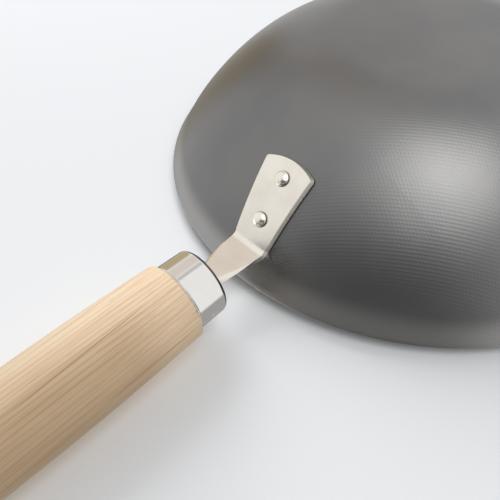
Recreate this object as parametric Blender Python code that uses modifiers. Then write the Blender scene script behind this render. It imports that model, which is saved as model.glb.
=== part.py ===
"""Iron pot with a flared lip, and a wooden handle on a stamped steel bracket.

The pot stands on its flat base: +Z is up, the origin is the centre of the base's underside,
and the handle points along +X. All lengths are in metres.
"""
import math

import bpy
import bmesh
from mathutils import Matrix, Vector

# Pot body
RIM_RADIUS = 0.130
POT_DEPTH = 0.068
POT_SHEET = 0.0016
BASE_RADIUS = 0.046
WALL_SLOPE = math.radians(68)      # steepness of the wall where it meets the lip
BASE_FULLNESS = 0.555              # how far the base runs out before the wall climbs
WALL_FULLNESS = 0.065              # how long the wall stays steep below the lip
LIP_WIDTH = 0.0063
LIP_SLOPE = math.radians(58.5)
LIP_FILLET = 0.006

# Handle bracket
BRACKET_SHEET = 0.0020
PLATE_LENGTH = 0.0373
PLATE_CROWN = 0.0031               # rise of the round end above its corners
PLATE_END_WIDTH = 0.0248
NECK_WIDTH = 0.0178                # developed width of the strip at the bend
NECK_END_WIDTH = 0.0144            # developed width of the strip in front of the ferrule
NECK_LENGTH = 0.0259               # from the bend to the ferrule's front face
NECK_FLAT_HALF = 0.0034            # half of what stays flat where the edges are rolled most
EDGE_ROLL = 0.0028                 # outside radius of the rolled edges
ROLL_ONSET = 1.2                   # above 1 the edges roll later along the neck
BEND_RADIUS = 0.0040               # inside radius of the bend
PLATE_START = 0.0048               # from the lip's valley down the wall to the bend
TAB_HALF_WIDTH = 0.0030
TAB_DEPTH = 0.0060                 # how far the tab reaches behind the ferrule's front face
HANDLE_RISE = math.radians(2.1)    # upward slope of the handle

# Rivets
RIVET_SHANK = 0.0022
RIVET_HEAD = 0.0033
RIVET_DOME = 0.0017
RIVET_TAIL_HEAD = 0.0036
RIVET_TAIL_HEIGHT = 0.0012
RIVET_PLACES = {"upper_rivet": 0.0123, "lower_rivet": 0.0319}   # distances from the bend

# Ferrule and its cross pin
FERRULE_RADIUS = 0.01535
FERRULE_FRONT_RADIUS = 0.01490
FERRULE_LENGTH = 0.0151
FERRULE_WALL = 0.0008
FERRULE_CORNER = 0.0018
PIN_RADIUS = 0.0010
PIN_PLACE = 0.0083                 # behind the ferrule's front face
PIN_TURN = math.radians(10)        # turned a little out of the horizontal
PIN_PROUD = 0.0002

# Wooden grip
GRIP_LENGTH = 0.128
GRIP_FRONT_RADIUS = 0.01735
GRIP_SWELL_RADIUS = 0.01870
GRIP_TAIL_RADIUS = 0.01750
GRIP_SHOULDER = 0.0012
GRIP_TAIL_ROUND = 0.0060
TAIL_SOCKET_RADIUS = 0.0082
TAIL_SOCKET_DEPTH = 0.0060

# Rod, its rivet and its tail fasteners
ROD_RADIUS = 0.0035
ROD_CHAMFER = 0.0005
TANG_RIVET_RADIUS = 0.0010
TANG_RIVET_PLACE = 0.0037
WASHER_RADIUS = 0.0068
WASHER_THICKNESS = 0.0012
NUT_ACROSS_FLATS = 0.0120
NUT_HEIGHT = 0.0050
NUT_DOME_RADIUS = 0.0052
NUT_DOME_HEIGHT = 0.0042
NUT_ROD_DEPTH = 0.0055

# Clearances
SEAT_GAP = 0.0003                  # between pieces that rest on each other
CHANNEL_GAP = 0.0005               # from the neck's rolled edges to the ferrule
HOLE_CLEARANCE = 0.0003            # round a rivet, a pin, the rod or the tab
CUT_MARGIN = 0.0020                # how far a cutter runs past what it cuts

POT_STEPS = 72
ROUND_STEPS = 24
SMALL_STEPS = 16
WALL_POINTS = 15

MATERIALS = {
    "pot_iron": ((0.165, 0.165, 0.165), 0.45, 0.85),
    "bracket_steel": ((0.74, 0.71, 0.66), 0.28, 1.0),
    "ferrule_steel": ((0.86, 0.85, 0.83), 0.08, 1.0),
    "grip_wood": ((0.74, 0.55, 0.36), 0.55, 0.0),
    "hidden_steel": ((0.60, 0.60, 0.60), 0.35, 1.0),
}


def clear_scene():
    for obj in list(bpy.data.objects):
        bpy.data.objects.remove(obj, do_unlink=True)


def make_collection(name):
    found = bpy.data.collections.new(name)
    bpy.context.scene.collection.children.link(found)
    return found


def make_material(name):
    colour, roughness, metallic = MATERIALS[name]
    material = bpy.data.materials.get(name) or bpy.data.materials.new(name)
    material.use_nodes = True
    shader = material.node_tree.nodes["Principled BSDF"]
    shader.inputs["Base Color"].default_value = (*colour, 1.0)
    shader.inputs["Roughness"].default_value = roughness
    shader.inputs["Metallic"].default_value = metallic
    material.diffuse_color = (*colour, 1.0)
    return material


def add_object(name, mesh, collection, material=None, parent=None, matrix=None):
    obj = bpy.data.objects.new(name, mesh)
    collection.objects.link(obj)
    if material:
        mesh.materials.append(make_material(material))
    obj.parent = parent
    if matrix is not None:
        obj.matrix_local = matrix
    return obj


def mesh_from_bmesh(name, bm):
    mesh = bpy.data.meshes.new(name)
    bm.normal_update()
    bm.to_mesh(mesh)
    bm.free()
    return mesh


def profile_mesh(name, points, closed):
    """A line of (radius, height) points in the XZ plane, ready to be turned about Z."""
    bm = bmesh.new()
    verts = [bm.verts.new((radius, 0.0, height)) for radius, height in points]
    for first, second in zip(verts, verts[1:]):
        bm.edges.new((first, second))
    if closed:
        bm.edges.new((verts[-1], verts[0]))
    return mesh_from_bmesh(name, bm)


def turned(name, points, collection, steps, closed=False, **placing):
    """A turned piece. Its profile runs down the outer side, top to bottom."""
    obj = add_object(name, profile_mesh(name, points, closed), collection, **placing)
    screw = obj.modifiers.new("turn", "SCREW")
    screw.axis = "Z"
    screw.steps = steps
    screw.render_steps = steps
    screw.use_merge_vertices = True
    screw.merge_threshold = 0.00001
    screw.use_smooth_shade = True
    return obj


def cutter_look(obj):
    obj.hide_render = True
    obj.display_type = "WIRE"
    return obj


def cut(obj, cutter):
    boolean = obj.modifiers.new("cut", "BOOLEAN")
    boolean.operation = "DIFFERENCE"
    boolean.solver = "EXACT"
    boolean.object = cutter
    return obj


def round_cutter(name, radius, low, high, collection, **placing):
    points = [(0.0, high), (radius, high), (radius, low), (0.0, low)]
    return cutter_look(turned(name, points, collection, SMALL_STEPS, **placing))


def box_cutter(name, low, high, collection, **placing):
    bm = bmesh.new()
    bmesh.ops.create_cube(bm, size=1.0)
    size = Vector(high) - Vector(low)
    middle = (Vector(high) + Vector(low)) / 2
    bmesh.ops.scale(bm, vec=size, verts=bm.verts)
    bmesh.ops.translate(bm, vec=middle, verts=bm.verts)
    return cutter_look(add_object(name, mesh_from_bmesh(name, bm), collection, **placing))


# The pot's outline: a wall curve, a small hollow fillet, then the straight flared lip.

def lip_points():
    """Outer side of the lip from the wall's top edge, the valley, out to the rim's edge."""
    fillet_run = LIP_FILLET * (math.sin(WALL_SLOPE) - math.sin(LIP_SLOPE))
    fillet_rise = LIP_FILLET * (math.cos(LIP_SLOPE) - math.cos(WALL_SLOPE))
    straight_run = LIP_WIDTH - fillet_run
    lip_height = fillet_rise + straight_run * math.tan(LIP_SLOPE)
    valley_r = RIM_RADIUS - LIP_WIDTH
    valley_z = POT_DEPTH - lip_height
    points = []
    for step in range(4):
        slope = WALL_SLOPE + (LIP_SLOPE - WALL_SLOPE) * step / 3
        points.append((valley_r + LIP_FILLET * (math.sin(WALL_SLOPE) - math.sin(slope)),
                       valley_z + LIP_FILLET * (math.cos(slope) - math.cos(WALL_SLOPE))))
    points.append((RIM_RADIUS, POT_DEPTH))
    return points


def wall_point(t):
    """Outer side of the wall: t is 0 at the flat base's edge and 1 at the lip's valley."""
    valley_r, valley_z = lip_points()[0]
    start = Vector((BASE_RADIUS, 0.0))
    end = Vector((valley_r, valley_z))
    base_handle = start + Vector(((valley_r - BASE_RADIUS) * BASE_FULLNESS, 0.0))
    steep = Vector((math.cos(WALL_SLOPE), math.sin(WALL_SLOPE)))
    wall_handle = end - steep * valley_z * WALL_FULLNESS
    s = 1.0 - t
    return s**3 * start + 3 * s * s * t * base_handle + 3 * s * t * t * wall_handle + t**3 * end


def outer_outline(wall_points):
    points = [(0.0, 0.0)]
    points += [tuple(wall_point(step / wall_points)) for step in range(wall_points)]
    return points + lip_points()


def offset_outline(points, distance):
    """The outline moved by distance to its inner side, upwards and towards the axis."""
    moved = []
    for index, point in enumerate(points):
        before = Vector(points[max(index - 1, 0)])
        after = Vector(points[min(index + 1, len(points) - 1)])
        along = (after - before).normalized()
        moved.append((point[0] - along.y * distance, point[1] + along.x * distance))
    moved[0] = (0.0, distance)
    return moved


def wall_path(samples=240):
    """Points down the wall's outer side from the valley, with their distance and slope."""
    path = []
    distance = 0.0
    last = wall_point(1.0)
    for step in range(samples + 1):
        t = 1.0 - step / samples
        point = wall_point(t)
        distance += (point - last).length
        ahead = wall_point(min(t + 0.5 / samples, 1.0))
        behind = wall_point(max(t - 0.5 / samples, 0.0))
        slope = math.atan2(ahead.y - behind.y, ahead.x - behind.x)
        path.append((distance, point, slope))
        last = point
    return path


WALL_PATH = wall_path()


def wall_at(distance):
    """Point and slope of the wall's outer side at a distance down from the valley."""
    for (d0, p0, a0), (d1, p1, a1) in zip(WALL_PATH, WALL_PATH[1:]):
        if d1 >= distance:
            share = (distance - d0) / (d1 - d0)
            return p0.lerp(p1, share), a0 + (a1 - a0) * share
    return WALL_PATH[-1][1], WALL_PATH[-1][2]


def outward(slope):
    """Unit vector pointing out of the wall, in the XZ plane."""
    return Vector((math.sin(slope), -math.cos(slope)))


# The bracket's centre line lies in the XZ plane, on the face that is turned to the pot.

def bend_tangent():
    """Length that the bend's arc takes from the plate, and from the neck."""
    slope = wall_at(PLATE_START)[1]
    return BEND_RADIUS * math.tan((slope - HANDLE_RISE) / 2)


def bend_frame():
    """Where the bend's arc begins and ends, and its centre, on the face turned to the pot."""
    point, slope = wall_at(PLATE_START + bend_tangent())
    start = point + outward(slope) * SEAT_GAP
    reach = BEND_RADIUS + BRACKET_SHEET
    centre = start + outward(slope) * reach
    end = centre - outward(HANDLE_RISE) * reach
    return start, slope, centre, end, reach


def neck_direction():
    return Vector((math.cos(HANDLE_RISE), math.sin(HANDLE_RISE)))


def neck_straight():
    return NECK_LENGTH - bend_tangent()


def ferrule_front():
    """Centre of the ferrule's front face: it lies in the middle of the sheet's thickness."""
    end = bend_frame()[3]
    return end + outward(HANDLE_RISE) * BRACKET_SHEET / 2 + neck_direction() * neck_straight()


def handle_matrix():
    """Handle frame: Z along the handle towards its tail, X towards its underside, Y level."""
    front = ferrule_front()
    along = neck_direction()
    under = outward(HANDLE_RISE)
    turn = Matrix(((under.x, 0.0, along.x), (0.0, 1.0, 0.0), (under.y, 0.0, along.y)))
    return Matrix.Translation((front.x, 0.0, front.y)) @ turn.to_4x4()


def plate_matrix(distance):
    """Frame on the plate at a distance from the bend: Z out of the pot, origin on the wall."""
    point, slope = wall_at(PLATE_START + distance)
    out = outward(slope)
    down = Vector((-math.cos(slope), -math.sin(slope)))
    turn = Matrix(((down.x, 0.0, out.x), (0.0, -1.0, 0.0), (down.y, 0.0, out.y)))
    return Matrix.Translation((point.x, 0.0, point.y)) @ turn.to_4x4()


def bracket_stations():
    """Rows of the bracket's sheet from its round end to its tab.

    Each row gives a function from the share across (0 to 1) to the row's point and slope,
    the developed half width, and the half width that stays flat.
    """
    rows = []
    plate_rows = 11
    arc_length = bend_tangent()
    for step in range(plate_rows):
        share = 1.0 - step / plate_rows
        from_bend = arc_length + (PLATE_LENGTH - arc_length) * share
        half = (NECK_WIDTH + (PLATE_END_WIDTH - NECK_WIDTH) * from_bend / PLATE_LENGTH) / 2

        def place(across, share=share, from_bend=from_bend):
            crown = PLATE_CROWN * (1.0 - across * across) * share
            point, slope = wall_at(PLATE_START + from_bend + crown)
            return point + outward(slope) * SEAT_GAP, slope

        rows.append((place, half, half))
    start, slope, centre, end, reach = bend_frame()
    bend_rows = 7
    for step in range(bend_rows):
        angle = slope + (HANDLE_RISE - slope) * step / bend_rows

        def place(across, angle=angle):
            return centre - outward(angle) * reach, angle

        rows.append((place, NECK_WIDTH / 2, NECK_WIDTH / 2))
    neck_rows = 8
    channel_length = neck_straight() - CHANNEL_GAP
    for step in range(neck_rows + 1):
        share = step / neck_rows
        # The last two rows are alike, so that the channel ends square.
        shaped = min(step / (neck_rows - 1), 1.0)
        half = (NECK_WIDTH + (NECK_END_WIDTH - NECK_WIDTH) * shaped * shaped) / 2
        flat = NECK_WIDTH / 2 + (NECK_FLAT_HALF - NECK_WIDTH / 2) * shaped ** ROLL_ONSET

        def place(across, share=share):
            return end + neck_direction() * channel_length * share, HANDLE_RISE

        rows.append((place, half, flat))
    tab_rows = 2
    tab_length = CHANNEL_GAP + TAB_DEPTH
    for step in range(1, tab_rows + 1):

        def place(across, share=step / tab_rows):
            return end + neck_direction() * (channel_length + tab_length * share), HANDLE_RISE

        rows.append((place, NECK_WIDTH / 2, NECK_WIDTH / 2))
    return rows, tab_rows


def bracket_columns():
    """Column values across the strip: 0 is its middle, 1 the tab's edge, 2 its own edge."""
    outer_steps = 7
    half = [0.0, 0.5, 1.0] + [1.0 + step / outer_steps for step in range(1, outer_steps + 1)]
    return [-value for value in reversed(half[1:])] + half


def strip_point(place, half, flat, column):
    """Point of the sheet: past the flat part its edge rolls up towards the pot side."""
    inner = TAB_HALF_WIDTH * min(abs(column), 1.0)
    developed = inner + (half - TAB_HALF_WIDTH) * max(abs(column) - 1.0, 0.0)
    middle, slope = place(developed / half)
    roll = max(developed - flat, 0.0) / EDGE_ROLL
    inside = EDGE_ROLL - BRACKET_SHEET
    side = min(developed, flat) + math.sin(roll) * inside
    point = middle - outward(slope) * (1.0 - math.cos(roll)) * inside
    return (point.x, math.copysign(side, column) if column else 0.0, point.y)


def make_bracket(parts, cutters):
    rows, tab_rows = bracket_stations()
    columns = bracket_columns()
    bm = bmesh.new()
    grid = []
    for index, (place, half, flat) in enumerate(rows):
        in_tab = index >= len(rows) - tab_rows
        grid.append([None if in_tab and abs(column) > 1.0
                     else bm.verts.new(strip_point(place, half, flat, column))
                     for column in columns])
    for row, below in zip(grid, grid[1:]):
        for side in range(len(columns) - 1):
            corners = (row[side], row[side + 1], below[side + 1], below[side])
            if None not in corners:
                bm.faces.new(corners)
    bracket = add_object("handle_bracket", mesh_from_bmesh("handle_bracket", bm), parts,
                         material="bracket_steel")
    bracket.data.shade_smooth()
    solid = bracket.modifiers.new("sheet", "SOLIDIFY")
    solid.thickness = BRACKET_SHEET
    solid.offset = 1.0
    solid.use_even_offset = True
    for name, distance in RIVET_PLACES.items():
        hole = round_cutter(name + "_plate_hole", RIVET_SHANK + HOLE_CLEARANCE, 0.0,
                            BRACKET_SHEET + SEAT_GAP + CUT_MARGIN, cutters,
                            matrix=plate_matrix(distance))
        cut(bracket, hole)
    return bracket


def make_pot(parts, cutters):
    outer = outer_outline(WALL_POINTS)
    inner = offset_outline(outer, POT_SHEET)
    profile = inner + list(reversed(outer))
    pot = turned("pot_body", profile, parts, POT_STEPS, material="pot_iron")
    for name, distance in RIVET_PLACES.items():
        hole = round_cutter(name + "_wall_hole", RIVET_SHANK + HOLE_CLEARANCE,
                            -POT_SHEET - CUT_MARGIN, CUT_MARGIN, cutters,
                            matrix=plate_matrix(distance))
        cut(pot, hole)
    return pot


def make_rivets(parts):
    top = SEAT_GAP + BRACKET_SHEET + SEAT_GAP
    # The wall is hollow under the flat inner head, whose edge comes nearer to it.
    wall_hollow = RIVET_TAIL_HEAD ** 2 / RIM_RADIUS
    bottom = -POT_SHEET - SEAT_GAP - wall_hollow
    dome_steps = 5
    dome = []
    for step in range(dome_steps + 1):
        angle = math.pi / 2 * (1.0 - step / dome_steps)
        dome.append((RIVET_HEAD * math.cos(angle), top + RIVET_DOME * math.sin(angle)))
    dome[0] = (0.0, top + RIVET_DOME)
    tail_edge = RIVET_TAIL_HEIGHT / 2
    profile = dome + [
        (RIVET_SHANK, top), (RIVET_SHANK, bottom), (RIVET_TAIL_HEAD, bottom),
        (RIVET_TAIL_HEAD, bottom - tail_edge),
        (RIVET_TAIL_HEAD - tail_edge, bottom - RIVET_TAIL_HEIGHT),
        (0.0, bottom - RIVET_TAIL_HEIGHT)]
    for name, distance in RIVET_PLACES.items():
        turned(name, profile, parts, ROUND_STEPS, material="bracket_steel",
               matrix=plate_matrix(distance))


def ferrule_radius_at(height):
    share = height / FERRULE_LENGTH
    return FERRULE_FRONT_RADIUS + (FERRULE_RADIUS - FERRULE_FRONT_RADIUS) * share


def make_ferrule(parts, cutters, frame, cross_hole):
    inner_corner = FERRULE_CORNER - FERRULE_WALL
    inner = [(0.0, FERRULE_WALL)]
    outer = []
    corner_steps = 5
    for step in range(corner_steps + 1):
        angle = math.pi / 2 * step / corner_steps
        base = ferrule_radius_at(FERRULE_CORNER) - FERRULE_CORNER
        inner.append((base + inner_corner * math.sin(angle),
                      FERRULE_CORNER - inner_corner * math.cos(angle)))
        outer.append((base + FERRULE_CORNER * math.sin(angle),
                      FERRULE_CORNER - FERRULE_CORNER * math.cos(angle)))
    inner.append((FERRULE_RADIUS - FERRULE_WALL, FERRULE_LENGTH))
    outer.append((FERRULE_RADIUS, FERRULE_LENGTH))
    profile = inner + list(reversed(outer)) + [(0.0, 0.0)]
    ferrule = turned("ferrule", profile, parts, 2 * ROUND_STEPS, material="ferrule_steel",
                     parent=frame)
    slot_half = BRACKET_SHEET / 2 + HOLE_CLEARANCE
    slot_width = TAB_HALF_WIDTH + HOLE_CLEARANCE
    slot = box_cutter("tab_slot", (-slot_half, -slot_width, -CUT_MARGIN),
                      (slot_half, slot_width, FERRULE_WALL + CUT_MARGIN / 2), cutters,
                      parent=frame)
    cut(ferrule, slot)
    cut(ferrule, cross_hole)


def grip_outline():
    """Outer side of the grip from its tail face down to the front end of its spigot."""
    shoulder_z = FERRULE_LENGTH + SEAT_GAP
    tail_z = shoulder_z + GRIP_LENGTH
    points = []
    for step in range(6):
        angle = math.pi / 2 * step / 5
        points.append((GRIP_TAIL_RADIUS - GRIP_TAIL_ROUND * (1.0 - math.sin(angle)),
                       tail_z - GRIP_TAIL_ROUND * (1.0 - math.cos(angle))))
    body_steps = 8
    body_low = shoulder_z + GRIP_SHOULDER
    body_high = tail_z - GRIP_TAIL_ROUND
    for step in range(1, body_steps + 1):
        share = 1.0 - step / body_steps
        straight = GRIP_FRONT_RADIUS + (GRIP_TAIL_RADIUS - GRIP_FRONT_RADIUS) * share
        swell = GRIP_SWELL_RADIUS - (GRIP_FRONT_RADIUS + GRIP_TAIL_RADIUS) / 2
        points.append((straight + swell * math.sin(math.pi * share),
                       body_low + (body_high - body_low) * share))
    for step in range(1, 4):
        angle = math.pi / 2 * step / 3
        points.append((GRIP_FRONT_RADIUS - GRIP_SHOULDER * (1.0 - math.cos(angle)),
                       body_low - GRIP_SHOULDER * math.sin(angle)))
    spigot_front = FERRULE_WALL + SEAT_GAP
    for height in (shoulder_z, FERRULE_CORNER + SEAT_GAP):
        points.append((ferrule_radius_at(min(height, FERRULE_LENGTH)) - FERRULE_WALL
                       - SEAT_GAP, height))
    points.append((ferrule_radius_at(0.0) - FERRULE_CORNER - SEAT_GAP, spigot_front))
    return points, spigot_front, tail_z


def make_grip(parts, frame, cross_hole):
    outline, spigot_front, tail_z = grip_outline()
    bore = ROD_RADIUS + HOLE_CLEARANCE
    socket_floor = tail_z - TAIL_SOCKET_DEPTH
    profile = outline + [(bore, spigot_front), (bore, socket_floor),
                         (TAIL_SOCKET_RADIUS, socket_floor), (TAIL_SOCKET_RADIUS, tail_z)]
    grip = turned("wooden_grip", profile, parts, 2 * ROUND_STEPS, closed=True,
                  material="grip_wood", parent=frame)
    cut(grip, cross_hole)
    return socket_floor


def make_cross_pin(parts, cutters, frame):
    """The pin through ferrule, grip and rod, and the cutter for its hole."""
    half = ferrule_radius_at(PIN_PLACE) + PIN_PROUD
    # Local Z of the pin lies across the handle, turned a little out of the level.
    turn = Matrix.Rotation(-PIN_TURN, 4, "Z") @ Matrix.Rotation(math.pi / 2, 4, "X")
    place = Matrix.Translation((0.0, 0.0, PIN_PLACE)) @ turn
    edge = PIN_RADIUS * 0.3
    profile = [(0.0, half), (PIN_RADIUS - edge, half), (PIN_RADIUS, half - edge),
               (PIN_RADIUS, -half + edge), (PIN_RADIUS - edge, -half), (0.0, -half)]
    turned("ferrule_pin", profile, parts, SMALL_STEPS, material="bracket_steel",
           parent=frame, matrix=place)
    reach = GRIP_SWELL_RADIUS + CUT_MARGIN
    return round_cutter("pin_hole", PIN_RADIUS + HOLE_CLEARANCE, -reach, reach, cutters,
                        parent=frame, matrix=place)


def make_rod(parts, cutters, frame, cross_hole, rod_end):
    rod_front = FERRULE_WALL + SEAT_GAP
    profile = [(0.0, rod_end), (ROD_RADIUS - ROD_CHAMFER, rod_end),
               (ROD_RADIUS, rod_end - ROD_CHAMFER), (ROD_RADIUS, rod_front + ROD_CHAMFER),
               (ROD_RADIUS - ROD_CHAMFER, rod_front), (0.0, rod_front)]
    rod = turned("tang_rod", profile, parts, ROUND_STEPS, material="hidden_steel",
                 parent=frame)
    fork_half = BRACKET_SHEET / 2 + HOLE_CLEARANCE
    reach = ROD_RADIUS + CUT_MARGIN
    fork = box_cutter("fork_slot", (-fork_half, -reach, rod_front - CUT_MARGIN),
                      (fork_half, reach, TAB_DEPTH + SEAT_GAP), cutters, parent=frame)
    cut(rod, fork)
    cut(rod, cross_hole)
    # The small rivet crosses the fork and the bracket's tab, square to the tab.
    place = (Matrix.Translation((0.0, 0.0, TANG_RIVET_PLACE))
             @ Matrix.Rotation(math.pi / 2, 4, "Y"))
    length = ROD_RADIUS - SEAT_GAP
    turned("tang_rivet", [(0.0, length), (TANG_RIVET_RADIUS, length),
                          (TANG_RIVET_RADIUS, -length), (0.0, -length)],
           parts, SMALL_STEPS, material="hidden_steel", parent=frame, matrix=place)
    hole = round_cutter("tang_rivet_hole", TANG_RIVET_RADIUS + HOLE_CLEARANCE, -reach, reach,
                        cutters, parent=frame, matrix=place)
    cut(rod, hole)
    return hole


def make_tail(parts, cutters, frame, socket_floor):
    """Washer and cap nut in the grip's tail socket, and the height that the rod ends at."""
    washer_low = socket_floor + SEAT_GAP
    washer_high = washer_low + WASHER_THICKNESS
    inner = ROD_RADIUS + HOLE_CLEARANCE
    turned("tail_washer", [(inner, washer_high), (WASHER_RADIUS, washer_high),
                           (WASHER_RADIUS, washer_low), (inner, washer_low)],
           parts, ROUND_STEPS, closed=True, material="bracket_steel", parent=frame)
    nut_low = washer_high + SEAT_GAP
    bm = bmesh.new()
    bmesh.ops.create_cone(bm, cap_ends=True, segments=6,
                          radius1=NUT_ACROSS_FLATS / math.sqrt(3.0),
                          radius2=NUT_ACROSS_FLATS / math.sqrt(3.0), depth=NUT_HEIGHT)
    bmesh.ops.translate(bm, vec=(0.0, 0.0, nut_low + NUT_HEIGHT / 2), verts=bm.verts)
    nut = add_object("tail_cap_nut", mesh_from_bmesh("tail_cap_nut", bm), parts,
                     material="bracket_steel", parent=frame)
    dome_low = nut_low + NUT_HEIGHT
    dome_steps = 6
    dome = [(0.0, dome_low + NUT_DOME_HEIGHT)]
    for step in range(1, dome_steps + 1):
        angle = math.pi / 2 * step / dome_steps
        dome.append((NUT_DOME_RADIUS * math.sin(angle),
                     dome_low + NUT_DOME_HEIGHT * math.cos(angle)))
    dome += [(NUT_DOME_RADIUS, dome_low - NUT_HEIGHT / 2), (0.0, dome_low - NUT_HEIGHT / 2)]
    cap = cutter_look(turned("nut_dome", dome, cutters, ROUND_STEPS, parent=frame))
    join = nut.modifiers.new("dome", "BOOLEAN")
    join.operation = "UNION"
    join.solver = "EXACT"
    join.object = cap
    bore_top = nut_low + NUT_ROD_DEPTH + SEAT_GAP
    bore = round_cutter("nut_bore", ROD_RADIUS + HOLE_CLEARANCE, nut_low - CUT_MARGIN,
                        bore_top, cutters, parent=frame)
    cut(nut, bore)
    return nut_low + NUT_ROD_DEPTH


def main():
    clear_scene()
    parts = make_collection("iron_steamer_pot")
    cutters = make_collection("cutters")
    make_pot(parts, cutters)
    bracket = make_bracket(parts, cutters)
    make_rivets(parts)
    frame = bpy.data.objects.new("handle_frame", None)
    parts.objects.link(frame)
    frame.matrix_world = handle_matrix()
    cross_hole = make_cross_pin(parts, cutters, frame)
    make_ferrule(parts, cutters, frame, cross_hole)
    socket_floor = make_grip(parts, frame, cross_hole)
    rod_end = make_tail(parts, cutters, frame, socket_floor)
    tang_hole = make_rod(parts, cutters, frame, cross_hole, rod_end)
    cut(bracket, tang_hole)
    cutters.hide_render = True


main()
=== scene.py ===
# %% [markdown]
# # An iron pot with a wooden handle
#
# The object is a wide bowl pressed from one sheet of iron, with a flared lip. A steel bracket
# is riveted to its wall, and a turned wooden grip with a polished ferrule sits on the bracket.
# The engineering model already gives every piece its place and its size. This lesson loads
# that model as a fixed frame, and gives each visible piece a finer shape and a real finish.

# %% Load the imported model
import math
import bpy
import bmesh
from mathutils import Matrix, Vector, geometry


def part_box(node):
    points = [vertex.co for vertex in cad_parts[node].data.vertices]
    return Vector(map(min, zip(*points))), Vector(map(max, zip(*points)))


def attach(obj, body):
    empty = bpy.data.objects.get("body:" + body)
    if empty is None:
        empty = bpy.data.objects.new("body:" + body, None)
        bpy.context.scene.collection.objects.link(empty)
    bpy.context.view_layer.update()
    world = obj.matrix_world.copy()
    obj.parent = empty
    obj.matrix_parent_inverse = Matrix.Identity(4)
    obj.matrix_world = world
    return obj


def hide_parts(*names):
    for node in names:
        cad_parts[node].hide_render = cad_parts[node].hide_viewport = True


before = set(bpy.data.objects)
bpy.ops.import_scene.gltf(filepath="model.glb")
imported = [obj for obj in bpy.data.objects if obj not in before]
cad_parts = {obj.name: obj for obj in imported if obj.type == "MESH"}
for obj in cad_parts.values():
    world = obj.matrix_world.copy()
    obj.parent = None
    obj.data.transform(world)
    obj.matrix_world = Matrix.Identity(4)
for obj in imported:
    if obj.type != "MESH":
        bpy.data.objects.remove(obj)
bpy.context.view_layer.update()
print("nodes:", sorted(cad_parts))

# %% [markdown]
# ## The camera
#
# The photograph was taken from close by, with the pot upside down on a table. In the model's
# own frame, where the pot stands upright, that is a camera below the base that looks up past
# the handle. A camera can be aimed with a tracking constraint, but a photograph that has to
# be matched needs its roll as well. So the camera's right, up and back directions are given
# as the three columns of its turn.

# %% The camera
CAMERA_PLACE = Vector((0.23866, -0.12094, -0.12747))
CAMERA_RIGHT = Vector((-0.7145, -0.6997, 0.0077))
CAMERA_BACK = Vector((0.4672, -0.4853, -0.7391)).normalized()
CAMERA_LENS = 40.43


def add_object(name, data):
    """A new object in the scene."""
    made = bpy.data.objects.new(name, data)
    bpy.context.scene.collection.objects.link(made)
    return made


def frame_at(place, x_way, y_way, z_way):
    """The matrix of a frame, from its place and its three directions."""
    return Matrix.Translation(place) @ Matrix((x_way, y_way, z_way)).transposed().to_4x4()


camera_data = bpy.data.cameras.new("photo_camera")
camera_data.sensor_width = 36.0
camera_data.lens = CAMERA_LENS
camera_data.clip_start = 0.002
camera_up = CAMERA_BACK.cross(CAMERA_RIGHT).normalized()
camera_right = camera_up.cross(CAMERA_BACK).normalized()
camera = add_object("photo_camera", camera_data)
camera.matrix_world = frame_at(CAMERA_PLACE, camera_right, camera_up, CAMERA_BACK)
bpy.context.scene.camera = camera
bpy.context.scene.view_settings.view_transform = "Standard"
print("camera at", tuple(round(value, 4) for value in camera.location))

# %% [markdown]
# ## Shader maths
#
# A finish is a network of nodes. Arithmetic in it would take one Math node for each sign, so
# one small class wraps a socket and lets Python's own signs add those nodes. A second class
# holds a node tree, and its one method makes any node from its type, its settings and its
# inputs. The few nodes that come back often have a short name of their own.

# %% Sockets that do arithmetic
class Maths:
    """A socket of a node tree. An expression on it adds Math nodes."""

    def __init__(self, nodes, socket):
        self.nodes = nodes
        self.socket = socket

    def step(self, operation, *values):
        numbered = dict(enumerate(values))
        return self.nodes.node("Math", {"operation": operation}, numbered)

    def __add__(self, other):
        return self.step("ADD", self, other)

    def __radd__(self, other):
        return self.step("ADD", other, self)

    def __sub__(self, other):
        return self.step("SUBTRACT", self, other)

    def __rsub__(self, other):
        return self.step("SUBTRACT", other, self)

    def __mul__(self, other):
        return self.step("MULTIPLY", self, other)

    def __rmul__(self, other):
        return self.step("MULTIPLY", other, self)

    def __pow__(self, other):
        return self.step("POWER", self, other)

    def __abs__(self):
        return self.step("ABSOLUTE", self)

    def sine(self):
        return self.step("SINE", self)


def between(first, second, share):
    """A number between two. It is the first at a share of 0, and the second at 1."""
    return first + (second - first) * share


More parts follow.
